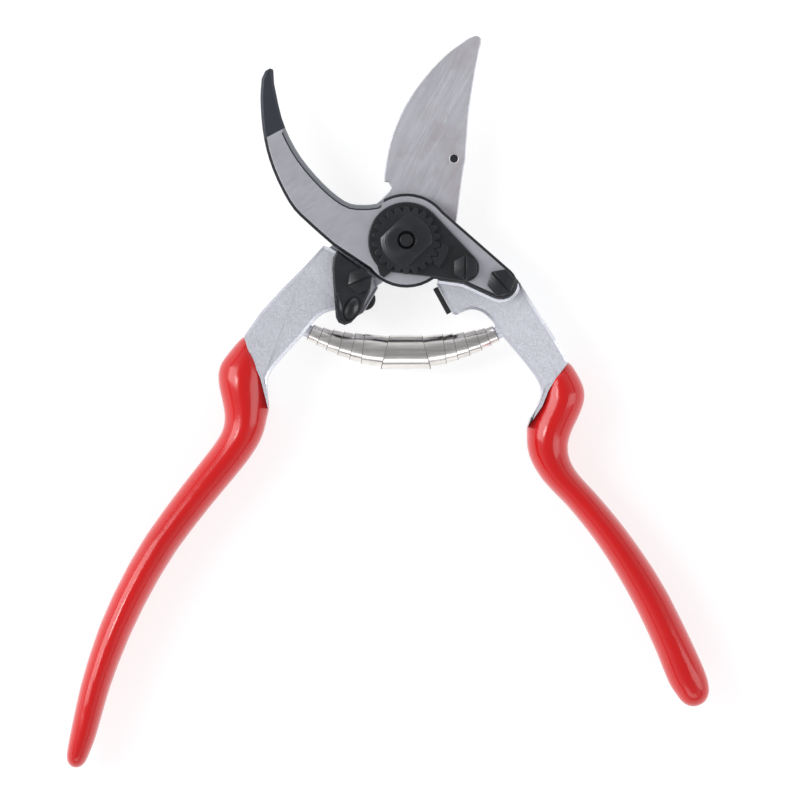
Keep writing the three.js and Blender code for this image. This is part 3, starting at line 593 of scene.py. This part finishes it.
class MakeJaws(bpy.types.Operator):
    """The blade and the hook, with their ground faces and broken edges."""

    bl_idname = "shears.make_jaws"
    bl_label = "Make the jaws"

    def execute(self, context):
        sizes, colours = context.scene.shears_sizes, context.scene.shears_colours
        blade = copy_of("cutting_blade")
        break_edges(blade, sizes.edge_break * 0.6)
        settle(blade, ground_steel(colours.blade), BLADE, "cutting_blade")
        hook = copy_of("anvil_hook")
        self.inner_line(hook)
        break_edges(hook, sizes.edge_break, segments=1)
        lined = [face.material_index for face in hook.data.polygons]
        settle(hook, hook_steel(colours.hook, colours.bevel, colours.oxide), ANVIL, "anvil_hook")
        hook.data.materials.append(black_oxide(colours.oxide))
        hook.data.materials.append(plain_ground(colours.bevel))
        hook.data.polygons.foreach_set("material_index", lined)
        return {"FINISHED"}

    def inner_line(self, hook):
        """Widens the bevel along the hook's inner edge, with a narrow unground line beside it."""
        for _ in range(DONE):
            hook.data.materials.append(None)
        work = bmesh.new()
        work.from_mesh(hook.data)
        ends = ((Vector((RING_SIDE, 0, 0)), Vector((1, 0, 0))), tip_line())
        for point, way in ends:
            top = [face for face in work.faces if face.normal.z > 0.99]
            around = {item for face in top for item in (*face.edges, *face.verts)}
            bmesh.ops.bisect_plane(work, geom=[*top, *around], dist=WELD / 2, plane_co=point, plane_no=way)
        outline = {vert for face in work.faces if face.normal.z > 0.99 for vert in face.verts}
        bmesh.ops.remove_doubles(work, verts=list(outline), dist=SHORT_EDGE)
        beside = {edge for face in work.faces if self.is_inner(face) for edge in face.edges}
        for width, index in ((BEVEL_WIDTH, BEVEL), (LINE_WIDTH, LINE)):
            top = [face for face in work.faces if face.normal.z > 0.99 and not face.material_index and
                   all((face.calc_center_median() - point).dot(way) < 0 for point, way in ends)]
            ring = bmesh.ops.inset_region(work, faces=top, thickness=width, use_even_offset=True)["faces"]
            marked = [face for face in ring if beside & set(face.edges) and
                      all((face.calc_center_median() - point).dot(way) < -LINE_END_GAP
                          for point, way in ends)]
            for face in ring:
                face.material_index = DONE
            for face in marked:
                face.material_index = index
            inner = {vert for face in top for vert in face.verts}
            bmesh.ops.remove_doubles(work, verts=list(inner), dist=SHORT_EDGE)
            beside = {edge for face in marked if face.is_valid for edge in face.edges}
        for face in work.faces:
            face.material_index %= DONE
        work.to_mesh(hook.data)
        work.free()

    def is_inner(self, face):
        """Whether a face is part of the chamfer along the hook's inner edge."""
        faces_in = face.normal.dot(Vector(INNER_WAY)) > INNER_SHARE
        return faces_in and 0.2 < face.normal.z < 0.9 and face.calc_center_median().x < RING_SIDE


class MakeBlackPieces(bpy.types.Operator):
    """The blackened nut, bolt, segment, screws, plug and catch."""

    bl_idname = "shears.make_black_pieces"
    bl_label = "Make the blackened pieces"

    def execute(self, context):
        sizes, colours = context.scene.shears_sizes, context.scene.shears_colours
        finish, turned = black_oxide(colours.oxide), turned_oxide(colours.oxide)
        bodies = {ANVIL: ("pivot_bolt", "pivot_nut", "locking_segment", "segment_screw", "hook_screw"),
                  BLADE: ("blade_plug",), CATCH: ("catch_lever", "catch_knob", "catch_screw")}
        for body, nodes in bodies.items():
            for node in nodes:
                piece = copy_of(node)
                if node == "catch_lever":
                    self.thumb_dish(piece)
                break_edges(piece, sizes.edge_break)
                settle(piece, turned if node == "pivot_nut" else finish, body, node)
        return {"FINISHED"}

    def thumb_dish(self, lever):
        """A scoop for the thumb in the lever's lower end, and a smaller one beside its raised rim."""
        low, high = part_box("catch_lever")
        scoop = Vector((low.x + 4.9 * MM, low.y + 4.1 * MM, high.z + 0.5 * MM))
        beside = Vector((low.x + 1.5 * MM, low.y + 5.6 * MM, high.z + 0.3 * MM))
        carve(lever, scoop, (2.1 * MM, 3.4 * MM, 1.9 * MM), math.radians(-22))
        carve(lever, beside, (1.0 * MM, 2.7 * MM, 1.0 * MM), math.radians(12))


class MakeBumper(bpy.types.Operator):
    """The rubber bumper on the right handle's nose."""

    bl_idname = "shears.make_bumper"
    bl_label = "Make the bumper"

    def execute(self, context):
        sizes, colours = context.scene.shears_sizes, context.scene.shears_colours
        bumper = copy_of("rubber_bumper")
        break_edges(bumper, sizes.edge_break * 1.5, segments=3)
        settle(bumper, bumper_rubber(colours.rubber), ANVIL, "rubber_bumper")
        return {"FINISHED"}


def band_places():
    """Each spring band's centre, direction, length and radius, from the CAD bands on their arc."""
    boxes = [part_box(f"spring_band_{i + 1:02d}") for i in range(BAND_COUNT)]
    centres = [(low + high) / 2 for low, high in boxes]
    a, b, c = (np.array(centres[i][:2]) for i in (0, BAND_COUNT // 2, BAND_COUNT - 1))
    rows = 2 * np.array([b - a, c - a])
    arc_centre = np.linalg.solve(rows, np.array([b @ b - a @ a, c @ c - a @ a]))
    places = []
    for (low, high), centre in zip(boxes, centres):
        lean = math.asin((centre.x - arc_centre[0]) / math.dist(centre[:2], arc_centre))
        radius = (high.z - low.z) / 2
        length = (high.x - low.x - 2 * radius * abs(math.sin(lean))) / math.cos(lean)
        places.append((centre, lean, length, radius))
    return places


def strip_band(name, centre, lean, length, radius, wall, small_end, skew):
    """A sleeve of thin strip with rounded rims, a little narrower at its small end and longer below."""
    half, rim, line = length / 2, wall * 0.35, EDGE_AND_SHADE_WIDTH
    profile = [(-half, radius - wall), (-half, radius - rim), (-half + rim, radius), (-half + line, radius),
               (0, radius), (half - line, radius), (half - rim, radius), (half, radius - rim),
               (half, radius - wall), (0, radius - wall)]
    bright = (3, 4)
    mesh = bpy.data.meshes.new(name)
    mesh.materials.append(None)
    mesh.materials.append(None)
    work = bmesh.new()
    rings = []
    direction = Vector((math.cos(lean), math.sin(lean), 0))
    side = Vector((-math.sin(lean), math.cos(lean), 0))
    for i in range(BAND_TURN_STEPS):
        angle = 2 * math.pi * i / BAND_TURN_STEPS
        out = side * math.cos(angle) + Vector((0, 0, math.sin(angle)))
        ring = []
        for along, reach in profile:
            slim = 1 - BAND_TAPER * max(0.0, along / half * small_end)
            stretch = 1 - skew * math.cos(angle)
            ring.append(work.verts.new(centre + direction * along * stretch + out * (reach * slim)))
        rings.append(ring)
    for i, ring in enumerate(rings):
        after = rings[(i + 1) % BAND_TURN_STEPS]
        for k in range(len(profile)):
            m = (k + 1) % len(profile)
            face = work.faces.new((ring[k], ring[m], after[m], after[k]))
            # Faces at the rims, and a narrow strip beside them on the plated face, take the dark finish:
            # the sheared edge with painted shade.
            face.material_index = 0 if k in bright or k >= len(profile) - 2 else 1
    bmesh.ops.recalc_face_normals(work, faces=work.faces)
    work.to_mesh(mesh)
    work.free()
    mesh.shade_smooth()
    mesh.set_sharp_from_angle(angle=math.radians(40))
    piece = bpy.data.objects.new(name, mesh)
    bpy.context.scene.collection.objects.link(piece)
    return piece


class MakeSpring(bpy.types.Operator):
    """The volute spring's bands, each a thin sleeve of nickel-plated strip."""

    bl_idname = "shears.make_spring"
    bl_label = "Make the spring"

    def execute(self, context):
        sizes, colours = context.scene.shears_sizes, context.scene.shears_colours
        finish, sheared_and_shade = nickel_strip(colours.nickel), sheared_edge_and_painted_shade(colours.nickel)
        middle = BAND_COUNT // 2
        for i, (centre, lean, length, radius) in enumerate(band_places()):
            node = f"spring_band_{i + 1:02d}"
            body = {0: BLADE, BAND_COUNT - 1: ANVIL}.get(i, f"band_{i + 1:02d}")
            small_end = (i > middle) - (i < middle)
            skew = {0: MIDDLE_SKEW, 1: 0.0}.get(abs(i - middle), OUTER_SKEW)
            piece = strip_band(node + "_finished", centre, lean, length, radius, sizes.strip_wall,
                               small_end, skew)
            edges = [face.material_index for face in piece.data.polygons]
            settle(piece, finish, body, node)
            # The second finish is the dark sheared edge with painted shade along each band's rims.
            piece.data.materials.append(sheared_and_shade)
            piece.data.polygons.foreach_set("material_index", edges)
        return {"FINISHED"}


def area_light(name, place, aim, size, power):
    """A soft rectangular light that faces a point."""
    data = bpy.data.lights.new(name, "AREA")
    data.shape = "RECTANGLE"
    data.size, data.size_y = size
    data.energy = power
    lamp = bpy.data.objects.new(name, data)
    lamp.location = place
    lamp.rotation_mode = "QUATERNION"
    lamp.rotation_quaternion = (Vector(aim) - Vector(place)).to_track_quat("-Z", "Y")
    bpy.context.scene.collection.objects.link(lamp)


class MakeStage(bpy.types.Operator):
    """A pale floor, soft studio lights and the camera straight above the shears."""

    bl_idname = "shears.make_stage"
    bl_label = "Make the stage"

    def execute(self, context):
        scene = context.scene
        sizes, colours = scene.shears_sizes, scene.shears_colours
        self.floor(scene, colours)
        self.lights(scene)
        self.camera(scene, sizes)
        return {"FINISHED"}

    def floor(self, scene, colours):
        """A plain square just under the shears."""
        mesh = bpy.data.meshes.new("floor")
        reach, below = 3.0, CAD_LOW.z - 0.2 * MM
        signs = ((-1, -1), (1, -1), (1, 1), (-1, 1))
        corners = [(x * reach, y * reach, below) for x, y in signs]
        mesh.from_pydata(corners, [], [(0, 1, 2, 3)])
        mesh.materials.append(matt_floor(colours.floor))
        floor = bpy.data.objects.new("floor", mesh)
        scene.collection.objects.link(floor)

    def lights(self, scene):
        """A room with bright walls and a dimmer ceiling, and four soft lamps."""
        world = bpy.data.worlds.new("studio")
        world.use_nodes = True
        tree = world.node_tree
        sky = tree.nodes["Background"]
        way = add(tree, "ShaderNodeTexCoord").outputs["Generated"]
        up = add(tree, "ShaderNodeSeparateXYZ", {0: way}).outputs["Z"]
        dome, walls = (add(tree, "ShaderNodeMapRange", {
            "Value": up, "From Min": start, "From Max": end, "To Min": below, "To Max": above},
            interpolation_type="SMOOTHSTEP").outputs[0]
            for start, end, below, above in ((0.25, 1.0, 1.0, 0.38), (0.05, 0.3, 0.25, 1.0)))
        light = add(tree, "ShaderNodeMath", {0: dome, 1: walls}, operation="MULTIPLY")
        tree.links.new(light.outputs[0], sky.inputs["Strength"])
        sky.inputs["Color"].default_value = (0.95, 0.96, 1.0, 1)
        scene.world = world
        scene.view_settings.view_transform = "Standard"
        aim = (0, -0.04, 0)
        area_light("key", (-1.05, 0.25, 0.6), aim, (0.6, 1.1), 8.0)
        area_light("fill", (1.1, -0.1, 0.45), aim, (0.5, 1.2), 3.4)
        area_light("glint", (-0.72, 0.1, 1.0), aim, (0.14, 0.3), 1.8)
        area_light("front", (0.0, -1.1, 0.6), aim, (1.2, 0.4), 2.0)

    def camera(self, scene, sizes):
        """A camera that looks straight down, a little off the shears' middle."""
        aside, ahead = 3.0 * MM, 0.7 * MM
        data = bpy.data.cameras.new("camera")
        data.sensor_width = 36.0
        plane = (CAD_LOW.z + CAD_HIGH.z) / 2
        data.lens = data.sensor_width * (sizes.camera_height - plane) / sizes.camera_view
        camera = bpy.data.objects.new("camera", data)
        middle = (CAD_LOW + CAD_HIGH) / 2
        camera.location = (middle.x + aside, middle.y + ahead, sizes.camera_height)
        scene.collection.objects.link(camera)
        scene.camera = camera


class ShearsPanel(bpy.types.Panel):
    """Lists what can be built."""

    bl_idname = "VIEW3D_PT_shears"
    bl_label = "Pruning shears"
    bl_space_type = "VIEW_3D"
    bl_region_type = "UI"
    bl_category = "Shears"

    def draw(self, context):
        for operator in OPERATORS:
            self.layout.operator(operator.bl_idname)
        for group in (context.scene.shears_sizes, context.scene.shears_colours):
            for key in group.bl_rna.properties.keys():
                if key not in ("name", "rna_type"):
                    self.layout.prop(group, key)


OPERATORS = (MakeStage, MakeCoatings, MakeCastings, MakeJaws, MakeBlackPieces, MakeBumper, MakeSpring)
CLASSES = (ShearsSizes, ShearsColours, *OPERATORS, ShearsPanel)


def register():
    for item in CLASSES:
        bpy.utils.register_class(item)
    bpy.types.Scene.shears_sizes = bpy.props.PointerProperty(type=ShearsSizes)
    bpy.types.Scene.shears_colours = bpy.props.PointerProperty(type=ShearsColours)


def unregister():
    del bpy.types.Scene.shears_sizes
    del bpy.types.Scene.shears_colours
    for item in reversed(CLASSES):
        bpy.utils.unregister_class(item)


def main():
    register()
    for operator in OPERATORS:
        group, name = operator.bl_idname.split(".")
        getattr(getattr(bpy.ops, group), name)()


if __name__ == "__main__":
    main()
